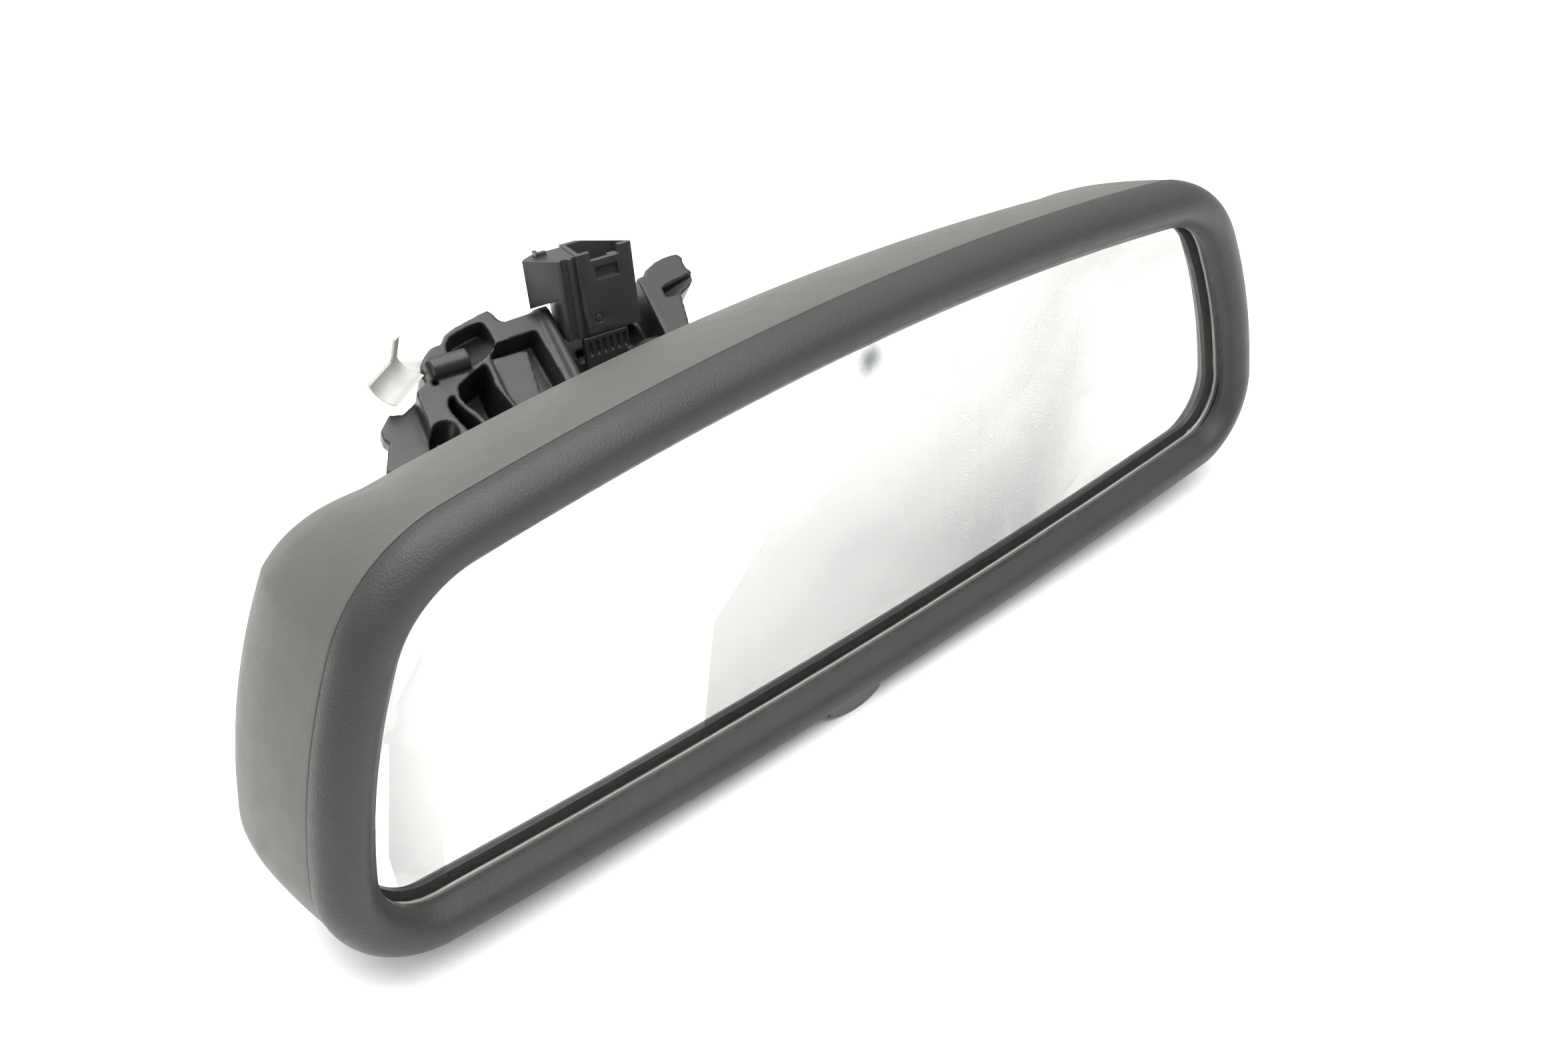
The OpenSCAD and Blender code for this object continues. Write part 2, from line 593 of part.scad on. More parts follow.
module foot_carrier() {
    color([0.1, 0.1, 0.1]) difference() {
        union() {
            in_web() {
                web_layer(wing, -web_t, 0);
                web_layer(arm, -web_t, 0);
                // floor that ties the wing and the arm behind the connector
                web_layer([[gap_l - 1, web_low], [gap_l - 1, -4], [gap_r + 1, -4], [gap_r + 1, web_low]],
                    -web_t, -web_t + 7);
                // windscreen seat rail
                translate([-rail_l / 2, -11, -web_t - rail_t + 2]) cube([rail_l, 11, rail_t]);
                // round ridge beside the connector
                translate([-11.7, web_low, -0.6]) rotate([-90, 0, 0])
                    cylinder(r = 1.5, h = -4.3 - web_low, $fn = 32);
                // rounded peg across the wing's shoulder
                translate([-41.4, -10.4, 0.9]) rotate([0, 90, 0]) cylinder(r = 2.4, h = 8.6);
            }
            // wall under the connector, with its grille
            translate([-6.2, socket_y, -9]) cube([gap_r + 6.8, 1.7, 10.4]);
            translate([-6.2, socket_y, 1]) cube([11.4, 1.7, socket_z - fit - 1]);
            // root that takes the stalk
            translate([ball_at[0], root_y, ball_at[2]]) rotate([-90, 0, 0])
                cylinder(r = root_r, h = 7.6, $fn = 64);
            translate([ball_at[0] - 5, root_y, -15]) cube([10, 21, 12.6]);
        }
        in_web() {
            web_layer(pocket_a, -15, 5);
            web_layer(pocket_b, -13, 5);
            translate([-44, -25.2, -16]) cylinder(r = 3, h = 30);
            difference() {
                web_layer(pocket_c, -8, 5);
                web_layer(panel, -9, -1.6);
            }
            // hollow whose floor falls away towards the wing's upper edge
            intersection() {
                difference() {
                    web_layer(shoulder, -9, 5);
                    translate([-42, -10.4, 0.9]) rotate([0, 90, 0]) cylinder(r = 2.4, h = 9.2);
                }
                translate([-31, -12.4, 0]) rotate([0, 0, 14]) rotate([-40, 0, 0])
                    translate([-20, -5, 0]) cube([40, 30, 20]);
            }
            // small drain hole below the peg
            translate([-41.3, -13.2, -3]) cylinder(r = 0.7, h = 8);
            // thin the outer tongue
            web_layer([[-60, -30], [-60, -12], [-46, -12], [-47, -30]], -5.5, 5);
            web_layer([[-60, -30], [-60, -12], [-47.2, -12], [-47.2, -30]], -web_t - 1, -10);
            // step under the right arm's end
            intersection() {
                web_layer([[17.4, -7.2], [25.6, -6], [28, -6.5], [27, -10.4], [17.3, -10.2]], -6, 5);
                translate([26, 0, -1.2]) rotate([0, -24, 0]) translate([-30, -20, 0]) cube([40, 30, 20]);
            }
        }
        // bore for the stalk, with its cross screw
        translate([ball_at[0], root_y - 1, ball_at[2]]) rotate([-90, 0, 0])
            cylinder(r = stalk_r + 0.05, h = 30, $fn = 64);
        translate([ball_at[0], root_y + 3.8, ball_at[2] - 20]) cylinder(r = 1.3, h = 20, $fn = 32);
        translate([ball_at[0], root_y + 3.8, -60]) cylinder(r = 2.7, h = 60 + ball_at[2] - root_r, $fn = 32);
        // room for the connector, the way for its lead and the grille's slots
        translate([socket_x - 5, socket_y - fit, socket_z - fit])
            cube([socket_w + 5 + fit, socket_d + 2 * fit, socket_h]);
        translate([socket_x - fit, socket_y + 1.9, socket_z - 9])
            cube([socket_w + 2 * fit, socket_d - 1.9 + fit, socket_h]);
        for (i = [0:5]) translate([-5 + i * 1.75, socket_y - 1, 2.2]) cube([0.8, 2, 3.7]);
        // room for the clip's half pipe, the slot for its leaf and the hole for its screw
        in_web() in_clip() {
            rotate([0, -90, 0]) translate([0, 0, -0.4]) cylinder(r = clip_pipe_r + 0.3, h = 20);
            rotate([0, 0, leaf_turn]) {
                translate([-3, -leaf_w / 2 - 0.15, -clip_pipe_r - 0.1])
                    cube([leaf_l + 3.5, leaf_w + 0.3, strap_t + 0.2]);
                translate([leaf_l - 3, 0, -30]) cylinder(r = 1.4, h = 31.3 - clip_pipe_r, $fn = 32);
            }
        }
    }
}
module stalk_screw() {
    color([0.75, 0.75, 0.78]) translate([ball_at[0], root_y + 3.8, ball_at[2]]) mirror([0, 0, 1])
        difference() {
            union() {
                translate([0, 0, wire_bore_r + 0.5]) cylinder(r = 1.2, h = root_r - wire_bore_r, $fn = 32);
                translate([0, 0, root_r + 0.02]) cylinder(r = 2.4, h = 1.6, $fn = 32);
            }
            for (a = [0, 90]) rotate([0, 0, a]) translate([-0.3, -1.5, root_r + 1]) cube([0.6, 3, 1]);
        }
}

// ---------- steel spring clip on the wing ----------
clip_turn = 31;
clip_pipe_r = 4.2;
clip_cut = 1.6;
leaf_turn = -45;
leaf_l = 7.6;
leaf_w = 4.4;
// X along the half pipe towards the wing, Y across it, Z out of the web
module in_clip() {
    translate([-44.9, -7.6, clip_cut]) rotate([0, 0, clip_turn]) children();
}
module spring_clip() {
    color([0.78, 0.79, 0.8]) in_web() in_clip() difference() {
        union() {
            rotate([0, -90, 0]) {
                // open trough that snaps round the bracket's edge
                difference() {
                    cylinder(r = clip_pipe_r, h = strap_w, $fn = 64);
                    translate([0, 0, -1]) cylinder(r = clip_pipe_r - strap_t, h = strap_w + 2, $fn = 64);
                    translate([-clip_cut, -10, -1]) cube([20, 20, strap_w + 2]);
                }
                // tongue above its upper edge
                translate([-2, 3.2, 0]) cube([9.6, strap_t, 1.6]);
            }
            // leaf that is screwed into the wing
            intersection() {
                rotate([0, 0, leaf_turn]) translate([-3, -leaf_w / 2, -clip_pipe_r])
                    cube([leaf_l + 3, leaf_w, strap_t]);
                translate([-3.2, -10, -10]) cube([20, 20, 20]);
            }
        }
        rotate([0, 0, leaf_turn]) translate([leaf_l - 3, 0, -10]) cylinder(r = 1.4, h = 20, $fn = 32);
    }
}
module clip_screw() {
    color([0.75, 0.75, 0.78]) in_web() in_clip() rotate([0, 0, leaf_turn])
        translate([leaf_l - 3, 0, -web_t - clip_cut - 0.02]) {
            translate([0, 0, -1.4]) cylinder(r = 2.4, h = 1.4, $fn = 32);
            translate([0, 0, -0.1]) cylinder(r = 1.25, h = web_t - 1.5, $fn = 32);
        }
}

// ---------- connector ----------
socket_x = -5.1;
socket_y = -24.3;
socket_z = 7.2;
rim_z = socket_z + socket_h;
block = [[socket_x + 0.5, socket_y], [-5.4, socket_y + 0.8], [-5.9, socket_y + 0.8],
    [-6.2, socket_y - 0.1], [-6.9, socket_y - 0.1], [-7.2, socket_y + 0.9], [-8.3, socket_y + 0.9],
    [-8.7, socket_y + 0.3], [-9.5, socket_y + 0.8], [-15.3, socket_y + 6.1], [-14.6, socket_y + 7],
    [-12.4, socket_y + 8.3], [socket_x + 0.5, socket_y + 8.3]];
module connector_shell() {
    color([0.07, 0.07, 0.07]) difference() {
        union() {
            translate([socket_x, socket_y, socket_z]) cube([socket_w, socket_d, socket_h]);
            // side block with an oblique face and flutes
            translate([0, 0, socket_z]) linear_extrude(socket_h - 0.3) polygon(block);
            // low guide rib standing on the block
            translate([-12.2, socket_y + 5.2, rim_z - 1]) cube([2.6, 1, 1.9]);
            translate([-12.2, socket_y + 5.2, rim_z - 1]) cube([1, 2.4, 1.9]);
        }
        // plug cavity with its guide post
        difference() {
            translate([socket_x + socket_t, socket_y + socket_t, socket_z + 4])
                cube([socket_w - 2 * socket_t, socket_d - 2 * socket_t, socket_h]);
            translate([3.1, socket_y + 1, socket_z + 3]) cube([2.2, 1.3, socket_h - 4]);
        }
        // oblique rim at the rear, notch in the front rim and the latch window
        translate([-0.2, socket_y + 8.1, rim_z]) rotate([0, 22, 49.2]) translate([-30, -30, 0])
            cube([60, 60, 20]);
        translate([-1.7, socket_y - 1, rim_z - 2.1]) cube([7, 3.4, 4]);
        translate([-0.9, socket_y - 1, socket_z + 12.8]) cube([5.7, 2.1, 3]);
        // underside of the block that clears the wing's upper edge and its ridge
        translate([-20, -16.4, 14.3]) rotate([-24.7, 0, 0]) translate([0, -30, -30]) cube([10.3, 60, 30]);
        // round mould mark
        translate([-1.5, socket_y - 0.01, 11.1]) rotate([-90, 0, 0]) difference() {
            cylinder(r = 1.25, h = 0.3);
            cylinder(r = 0.8, h = 0.3);
        }
    }
}
module contact_pins() {
    color([0.8, 0.7, 0.4]) for (i = [0:3], j = [0:1])
        translate([socket_x + 2.6 + i * 2.6, socket_y + 3.2 + j * 2.4, socket_z + 4])
            cube([0.64, 0.64, 8]);
}
foot_run = concat([ball_at + [0, 1, 0]], bend([ball_at[0], socket_y - 3, ball_at[2]],
    [ball_at[0], socket_y + 4, ball_at[2]], [socket_x + 6.8, socket_y + 4.3, ball_at[2] + 1],
    [socket_x + 6.5, socket_y + 4.5, socket_z - 0.3], 12));
module foot_lead() {
    color([0.07, 0.07, 0.07]) tube(foot_run, lead_r, [1, 0, 0]);
}

bezel();
rear_housing();
front_glass();
electrochromic_gel();
edge_seal();
mirror_glass();
bus_clip_top();
bus_clip_bottom();
bonding_pad();
carrier_plate();
circuit_board();
board_screws();
glare_sensor();
sensor_shroud();
ambient_sensor();
ambient_light_guide();
microcontroller();
small_chips();
capacitors();
board_header();
head_lead();
mode_button();
mode_switch();
socket_housing();
seat_ring();
pressure_cup();
pressure_spring();
socket_cap();
socket_screws();
neck_cover();
ball_stalk();
foot_carrier();
stalk_screw();
spring_clip();
clip_screw();
connector_shell();
contact_pins();
foot_lead();
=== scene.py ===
"""Looks of the interior rear-view mirror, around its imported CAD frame.

Lengths are in millimetres until a mesh is made, and the head is drawn in its own frame:
X along the glass, Y from the lip into the head, Z up, origin in the middle of the opening.
"""

import math

import bpy
import numpy as np
from mathutils import Matrix, Vector


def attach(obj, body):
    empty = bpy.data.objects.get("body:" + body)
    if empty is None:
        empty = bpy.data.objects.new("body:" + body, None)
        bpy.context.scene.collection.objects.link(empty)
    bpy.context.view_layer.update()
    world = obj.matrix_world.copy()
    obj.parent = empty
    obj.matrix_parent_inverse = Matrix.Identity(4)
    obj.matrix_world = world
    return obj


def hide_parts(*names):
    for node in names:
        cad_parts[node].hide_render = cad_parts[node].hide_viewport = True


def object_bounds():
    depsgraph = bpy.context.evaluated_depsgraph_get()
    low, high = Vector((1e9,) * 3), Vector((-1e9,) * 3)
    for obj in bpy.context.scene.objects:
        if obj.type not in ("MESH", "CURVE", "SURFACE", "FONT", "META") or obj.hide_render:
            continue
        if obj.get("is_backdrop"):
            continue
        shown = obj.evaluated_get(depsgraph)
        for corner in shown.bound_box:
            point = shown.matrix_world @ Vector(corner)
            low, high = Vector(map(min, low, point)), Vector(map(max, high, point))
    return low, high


MM = 0.001

# Glass opening
OPENING_W = 226
OPENING_H = 67
CROWN_TOP_R = 678
CROWN_BOTTOM_R = 1620
CORNER_TOP_R = 20.5
CORNER_BOTTOM_R = 10
SIDE_LEAN_TOP = 28
SIDE_LEAN_BOTTOM = 9

# Head shell
LIP_PROUD = 1.7
BEZEL_W = 9.45
BEZEL_BULGE = 3
SEAM_Y = 4.2
SEAM_GAP = 0.35
HEAD_DEPTH = 48
SHELL_T = 2.2
LAND_R = 23.5
HOLE_R = 19
GUIDE_AT = (34, 8)
GUIDE_HOLE_R = 2.65
# Small roundings of the bezel's and the housing's edges at the seam, and at the neck hole
SEAM_ROUND = 0.3
NECK_CHAMFER = 0.4
# How far the housing's front edge stays inside the bezel's
HOUSING_INSET = 0.1

# Where the head sits on its ball
BALL_Y = HEAD_DEPTH + 2
BALL_AT = Vector((7.7, -62.2, -1))
HEAD_TURN = 9

HEAD = (
    Matrix.Translation(BALL_AT)
    @ Matrix.Rotation(math.radians(HEAD_TURN), 4, "Z")
    @ Matrix.Translation((0, -BALL_Y, 0))
)

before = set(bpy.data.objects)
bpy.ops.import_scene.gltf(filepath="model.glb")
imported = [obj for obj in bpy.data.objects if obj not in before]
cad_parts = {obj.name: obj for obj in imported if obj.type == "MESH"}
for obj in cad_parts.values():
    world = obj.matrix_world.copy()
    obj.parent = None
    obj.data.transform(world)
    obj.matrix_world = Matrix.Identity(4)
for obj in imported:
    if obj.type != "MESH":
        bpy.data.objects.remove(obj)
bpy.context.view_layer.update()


# ---------- the opening's outline, as tangent arcs ----------
def rad(*degrees):
    return [math.radians(d) for d in degrees]


def half_arcs():
    """(radius, first angle, last angle, steps) of each arc from top centre to bottom centre."""
    lean_top, lean_bottom = rad(SIDE_LEAN_TOP, SIDE_LEAN_BOTTOM)
    half = OPENING_W / 2
    bottom = math.acos((half - CORNER_BOTTOM_R) / (CROWN_BOTTOM_R - CORNER_BOTTOM_R))
    side_r = 110
    for _ in range(6):
        reach = (
            half
            - CORNER_TOP_R * math.cos(lean_top)
            - side_r * (math.cos(lean_bottom) - math.cos(lean_top))
            - CORNER_BOTTOM_R * (1 - math.cos(lean_bottom))
        )
        top = math.acos(reach / (CROWN_TOP_R - CORNER_TOP_R))
        drop = (
            OPENING_H
            - CROWN_TOP_R * (1 - math.sin(top))
            - CORNER_TOP_R * (math.sin(top) - math.sin(lean_top))
            - CORNER_BOTTOM_R * (math.sin(lean_bottom) + math.sin(bottom))
            - CROWN_BOTTOM_R * (1 - math.sin(bottom))
        )
        side_r = drop / (math.sin(lean_top) - math.sin(lean_bottom))
    up = math.pi / 2
    return [
        (CROWN_TOP_R, up, top, 44),
        (CORNER_TOP_R, top, lean_top, 30),
        (side_r, lean_top, lean_bottom, 16),
        (CORNER_BOTTOM_R, lean_bottom, -bottom, 30),
        (CROWN_BOTTOM_R, -bottom, -up, 44),
    ]


def outline():
    """Points of the opening's edge and their outward normals, once round."""
    start = np.array([0, OPENING_H / 2])
    points, normals = [], []
    for radius, a, b, steps in half_arcs():
        first = np.array([math.cos(a), math.sin(a)])
        for i in range(steps):
            t = a + (b - a) * i / steps
            n = np.array([math.cos(t), math.sin(t)])
            points.append(start + radius * (n - first))
            normals.append(n)
        last = np.array([math.cos(b), math.sin(b)])
        start = start + radius * (last - first)
    points.append(start)
    normals.append(np.array([0.0, -1.0]))
    flip = np.array([-1, 1])
    left = [(p * flip, n * flip) for p, n in list(zip(points, normals))[-2:0:-1]]
    points += [p for p, _ in left]
    normals += [n for _, n in left]
    return np.array(points), np.array(normals)


EDGE, NORMAL = outline()


# ---------- mesh helpers ----------
def new_object(name, vertices, faces, place=HEAD, crease=40):
    """A smooth-shaded mesh object with hard edges sharper than crease, in the row frame."""
    mesh = bpy.data.meshes.new(name)
    mesh.from_pydata([tuple((place @ Vector(v)) * MM) for v in vertices], [], faces)
    mesh.validate()
    mesh.shade_smooth()
    mesh.set_sharp_from_angle(angle=math.radians(crease))
    obj = bpy.data.objects.new(name, mesh)
    bpy.context.scene.collection.objects.link(obj)
    return obj


def ring_skin(name, rings, **options):
    """A closed skin through rings of equal length, the last joining the first."""
    count, n = len(rings), len(rings[0])
    faces = []
    for j in range(count):
        k = (j + 1) % count
        for i in range(n):
            h = (i + 1) % n
            faces.append((j * n + i, k * n + i, k * n + h, j * n + h))
    return new_object(name, [v for ring in rings for v in ring], faces, **options)


def arc(centre, radius, a, b, steps):
    """Points of an arc in a cross-section, angles in degrees."""
    turns = [math.radians(a + (b - a) * i / steps) for i in range(steps + 1)]
    return [(centre[0] + radius * math.cos(t), centre[1] + radius * math.sin(t)) for t in turns]


def apply_modifiers(obj):
    """Bakes the object's modifiers into its mesh."""
    graph = bpy.context.evaluated_depsgraph_get()
    baked = bpy.data.meshes.new_from_object(obj.evaluated_get(graph))
    obj.modifiers.clear()
    obj.data = baked


def cut(obj, cutter):
    """Takes the cutter's solid out of obj."""
    boolean = obj.modifiers.new("cut", "BOOLEAN")
    boolean.operation = "DIFFERENCE"
    boolean.solver = "EXACT"
    boolean.object = cutter
    bpy.context.view_layer.update()
    apply_modifiers(obj)
    bpy.data.objects.remove(cutter)


def block(name, low, high):
    """A box between two corners of the head's frame."""
    xs, ys, zs = zip(low, high)
    corners = [(x, y, z) for x in xs for y in ys for z in zs]
    sides = [(0, 1, 3, 2), (4, 6, 7, 5), (0, 4, 5, 1), (2, 3, 7, 6), (0, 2, 6, 4), (1, 5, 7, 3)]
    return new_object(name, corners, sides)


def rod(name, at, radius, low, high, steps=48):
    """A round rod along the head's depth axis."""
    turns = [2 * math.pi * i / steps for i in range(steps)]
    rings = [
        [(at[0] + radius * math.cos(t), y, at[1] + radius * math.sin(t)) for t in turns]
        for y in (low, high)
    ]
    faces = [(i, (i + 1) % steps, steps + (i + 1) % steps, steps + i) for i in range(steps)]
    faces += [tuple(range(steps - 1, -1, -1)), tuple(range(steps, 2 * steps))]
    return new_object(name, rings[0] + rings[1], faces)


# ---------- bezel ----------
GLASS_BITE = 3.2
LEDGE_Y = 6.6
SKIRT_OUT = BEZEL_W - SHELL_T - 1.3
SKIRT_T = 1.5
SKIRT_Y = SEAM_Y + 4.4
BUTTON_X = -11.5
BUTTON_W = 14
BUTTON_Y = (-0.6, 3.9)
BUTTON_TOP = 5.4
SLOT_GAP = 0.15
# Play round the glass in the bezel's pocket
POCKET_PLAY = 0.2
# The bulge's highest line: share of the bezel's width, and depth
CREST_SHARE = 0.44
CREST_Y = 2.8


def bezel_profile():
    """(distance outside the opening, depth) round the bezel's section."""
    crest = BEZEL_W * CREST_SHARE
    bulge = CREST_Y + BEZEL_BULGE
    section = [(0, LIP_PROUD), (0, 1.1), (0, 0.5)]
    for i in range(37):
        t = math.radians(216 + 4 * i)
        squeeze = 0.72 if t < math.radians(270) else 1
        out = crest + (BEZEL_W - crest) * math.cos(t) * squeeze
        section.append((out, CREST_Y + bulge * math.sin(t)))
    section.append((BEZEL_W, SEAM_Y - SEAM_ROUND))
    section += arc((BEZEL_W - SEAM_ROUND, SEAM_Y - SEAM_ROUND), SEAM_ROUND, 0, 90, 4)[1:]
    pocket = GLASS_BITE + POCKET_PLAY
    return section + [
        (SKIRT_OUT, SEAM_Y),
        (SKIRT_OUT, SKIRT_Y),
        (SKIRT_OUT - SKIRT_T, SKIRT_Y),
        (SKIRT_OUT - SKIRT_T, LEDGE_Y),
        (pocket, LEDGE_Y),
        (pocket, LIP_PROUD),
    ]


def make_bezel():
    rings = []
    for d, y in bezel_profile():
        grown = EDGE + d * NORMAL
        rings.append([(x, y, z) for x, z in grown])
    bezel = ring_skin("bezel_skin", rings)
    bottom = -OPENING_H / 2
    slot = block(
        "button_slot",
        (BUTTON_X - BUTTON_W / 2 - SLOT_GAP, BUTTON_Y[0] - SLOT_GAP, bottom - BEZEL_W - 5),
        (BUTTON_X + BUTTON_W / 2 + SLOT_GAP, BUTTON_Y[1] + SLOT_GAP, bottom - BUTTON_TOP),
    )
    cut(bezel, slot)
    bezel.data.set_sharp_from_angle(angle=math.radians(40))
    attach(bezel, "head")
    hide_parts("bezel")


# ---------- glass ----------
FRONT_Y = LIP_PROUD
GLASS_T = 1.6
GEL_T = 0.3
# How far the gel and the mirror plate stay inside the front glass
GEL_INSET = 2.2
MIRROR_INSET = 0.4
MIRROR_Y = FRONT_Y + GLASS_T + GEL_T


def make_pane(name, node, grow, y, thickness):
    """A plate with the opening's outline, flat enough to reflect as one plane."""
    grown = EDGE + grow * NORMAL
    n = len(grown)
    front = [(x, y, z) for x, z in grown]
    back = [(x, y + thickness, z) for x, z in grown]
    faces = [(i, (i + 1) % n, n + (i + 1) % n, n + i) for i in range(n)]
    faces += [tuple(range(n - 1, -1, -1)), tuple(range(n, 2 * n))]
    pane = new_object(name, front + back, faces)
    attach(pane, "head")
    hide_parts(node)


# ---------- rear housing ----------
HOUSING_EDGE = BEZEL_W - HOUSING_INSET
# Smallest corner radius that is left where the skin shrinks
LEAST_CORNER_R = 0.6
ROWS_BETWEEN = 5
# each row: depth as a share of the shell's, growth at the ends, top and bottom, blend to the land
HOUSING_ROWS = np.array(
    [
        (0, HOUSING_EDGE, HOUSING_EDGE, HOUSING_EDGE, 0),
        (0.13, 10.2, 7.9, 8.0, 0),
        (0.27, 10.8, 6.1, 6.4, 0),
        (0.41, 11.0, 4.0, 4.5, 0),
        (0.55, 10.4, 1.6, 2.3, 0),
        (0.66, 9.0, -0.6, 0.1, 0),
        (0.755, 7.0, -2.6, -1.9, 0),
        (0.835, 4.0, -4.6, -4.0, 0),
        (0.9, 0.0, -7.0, -6.4, 0),
        (0.95, -4, -8.2, -7.6, 0.12),
        (0.98, -5, -8.4, -7.8, 0.4),
        (1, -5, -8.4, -7.8, 0.75),
    ]
)


def smooth_rows(rows, steps):
    """Catmull-Rom rows through the given ones."""
    padded = np.vstack([2 * rows[0] - rows[1], rows, 2 * rows[-1] - rows[-2]])
    out = []
    for k in range(len(rows) - 1):
        a, b, c, d = padded[k : k + 4]
        for i in range(steps):
            t = i / steps
            out.append(
                0.5
                * (
                    2 * b
                    + (c - a) * t
                    + (2 * a - 5 * b + 4 * c - d) * t**2
                    + (3 * b - a - 3 * c + d) * t**3
                )
            )
    out.append(rows[-1])
    return out


def shell_ring(row, wall):
    """One ring of the housing's skin, moved in by the wall's thickness."""
    share, ends, top, bottom, blend = row
    nx, nz = NORMAL[:, 0], NORMAL[:, 1]
    d = ends * nx**2 + np.where(nz > 0, top, bottom) * nz**2 - wall
    grown = EDGE + np.maximum(d, LEAST_CORNER_R - CORNER_BOTTOM_R)[:, None] * NORMAL
    round_to = LAND_R * grown / np.linalg.norm(grown, axis=1)[:, None]
    at = (1 - blend) * grown + blend * round_to
    front = SEAM_Y + SEAM_GAP
    y = front + (HEAD_DEPTH - wall - front) * share
    return [(x, y, z) for x, z in at]


def round_ring(radius, y):
    """A round ring whose points line up with the housing's last one."""
    last = np.array(shell_ring(HOUSING_ROWS[-1], 0))[:, [0, 2]]
    at = radius * last / np.linalg.norm(last, axis=1)[:, None]
    return [(x, y, z) for x, z in at]


def make_housing():
    rows = smooth_rows(HOUSING_ROWS, ROWS_BETWEEN)
    front = SEAM_Y + SEAM_GAP
    lip = []
    for d, y in arc((HOUSING_EDGE - SEAM_ROUND, front + SEAM_ROUND), SEAM_ROUND, -90, 0, 4):
        grown = EDGE + d * NORMAL
        lip.append([(x, y, z) for x, z in grown])
    rings = lip + [shell_ring(r, 0) for r in rows[1:]]
    inside = HEAD_DEPTH - SHELL_T
    rings += [round_ring(LAND_R, HEAD_DEPTH), round_ring(HOLE_R + NECK_CHAMFER, HEAD_DEPTH)]
    rings += [round_ring(HOLE_R, HEAD_DEPTH - NECK_CHAMFER), round_ring(HOLE_R, inside)]
    rings += [round_ring(LAND_R, inside)]
    rings += [shell_ring(r, SHELL_T) for r in rows[::-ROWS_BETWEEN]]
    housing = ring_skin("housing_skin", rings, crease=50)
    cut(housing, rod("guide_hole", GUIDE_AT, GUIDE_HOLE_R, HEAD_DEPTH - 8, HEAD_DEPTH + 4))
    housing.data.set_sharp_from_angle(angle=math.radians(50))
    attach(housing, "head")
    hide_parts("rear_housing")


# ---------- materials ----------
class Paint:
    """A material and short ways to add its nodes."""

    def __init__(self, name):
        self.material = bpy.data.materials.new(name)
        self.material.use_nodes = True
        self.tree = self.material.node_tree
        self.shader = self.tree.nodes["Principled BSDF"]
        self.place = self.node("ShaderNodeTexCoord").outputs["Object"]

    def node(self, kind, **settings):
        made = self.tree.nodes.new(kind)
        for key, value in settings.items():
            setattr(made, key, value)
        return made

    def link(self, source, target):
        self.tree.links.new(source, target)

    def set(self, socket, value):
        """A value on one of the shader's own sockets."""
        self.shader.inputs[socket].default_value = value

    def noise(self, scale, detail=2.0, roughness=0.5, place=None):
        made = self.node("ShaderNodeTexNoise")
        made.inputs["Scale"].default_value = scale
        made.inputs["Detail"].default_value = detail
        made.inputs["Roughness"].default_value = roughness
        self.link(place or self.place, made.inputs["Vector"])
        return made.outputs["Fac"]

    def cells(self, scale):
        made = self.node("ShaderNodeTexVoronoi")
        made.inputs["Scale"].default_value = scale
        self.link(self.place, made.inputs["Vector"])
        return made.outputs["Distance"]

    def ramp(self, source, low, high, at=(0.35, 0.65)):
        """Source remapped to a run of colours or greys between two stops."""
        made = self.node("ShaderNodeValToRGB")
        for element, position, value in zip(made.color_ramp.elements, at, (low, high)):
            element.position = position
            element.color = (*value, 1) if isinstance(value, tuple) else (value, value, value, 1)
        self.link(source, made.inputs["Fac"])
        return made.outputs["Color"]

    def math(self, operation, a, b):
        made = self.node("ShaderNodeMath", operation=operation)
        for socket, value in zip(made.inputs, (a, b)):
            if isinstance(value, (int, float)):
                socket.default_value = value
            else:
                self.link(value, socket)
        return made.outputs[0]

    def bump(self, height, depth, below=None):
        """Bump of a real depth in millimetres; below is a coarser bump under it."""
        made = self.node("ShaderNodeBump")
        made.inputs["Strength"].default_value = 1
        made.inputs["Distance"].default_value = depth * MM
        self.link(height, made.inputs["Height"])
        if below:
            self.link(below, made.inputs["Normal"])
        return made.outputs["Normal"]

    def colour(self, source):
        self.link(source, self.shader.inputs["Base Color"])

    def rough(self, source):
        self.link(source, self.shader.inputs["Roughness"])

    def normal(self, source):
        self.link(source, self.shader.inputs["Normal"])


def shade(colour, k):
    return tuple(c * k for c in colour)


def moulded(name, colour, rough, grain=0.0, cell=0.5, drift=0.04, spec=0.5):
    """Moulded plastic: grain is its depth in mm, cell its size in mm, drift its colour variation."""
    p = Paint(name)
    broad = p.noise(60, 3)
    p.colour(p.ramp(broad, shade(colour, 1 - drift), shade(colour, 1 + drift)))
    p.rough(p.ramp(p.noise(220, 3), rough - 0.02, rough + 0.03))
    swell = p.bump(p.noise(60, 1), 0.006)
    if grain:
        pits = p.ramp(p.cells(1 / (cell * MM)), 0.0, 1.0, (0.1, 0.75))
        fine = p.noise(2.2 / (cell * MM), 3, 0.6)
        height = p.math("ADD", pits, fine)
        p.normal(p.bump(height, grain, swell))
    else:
        p.normal(p.bump(p.noise(2500, 2), 0.003, swell))
    p.set("Specular IOR Level", spec)
    return p.material


def metal(name, colour, rough, brushed=0.004, scale=(400, 400, 4000)):
    """Bare metal with fine drawn lines along the shorter scales."""
    p = Paint(name)
    stretch = p.node("ShaderNodeMapping")
    stretch.inputs["Scale"].default_value = scale
    p.link(p.place, stretch.inputs["Vector"])
    lines = p.noise(1, 3, 0.6, stretch.outputs["Vector"])
    p.colour(p.ramp(p.noise(300, 3), shade(colour, 0.9), shade(colour, 1.05)))
    p.rough(p.ramp(lines, rough - 0.06, rough + 0.1))
    p.normal(p.bump(lines, brushed))
    p.set("Metallic", 1.0)
    return p.material


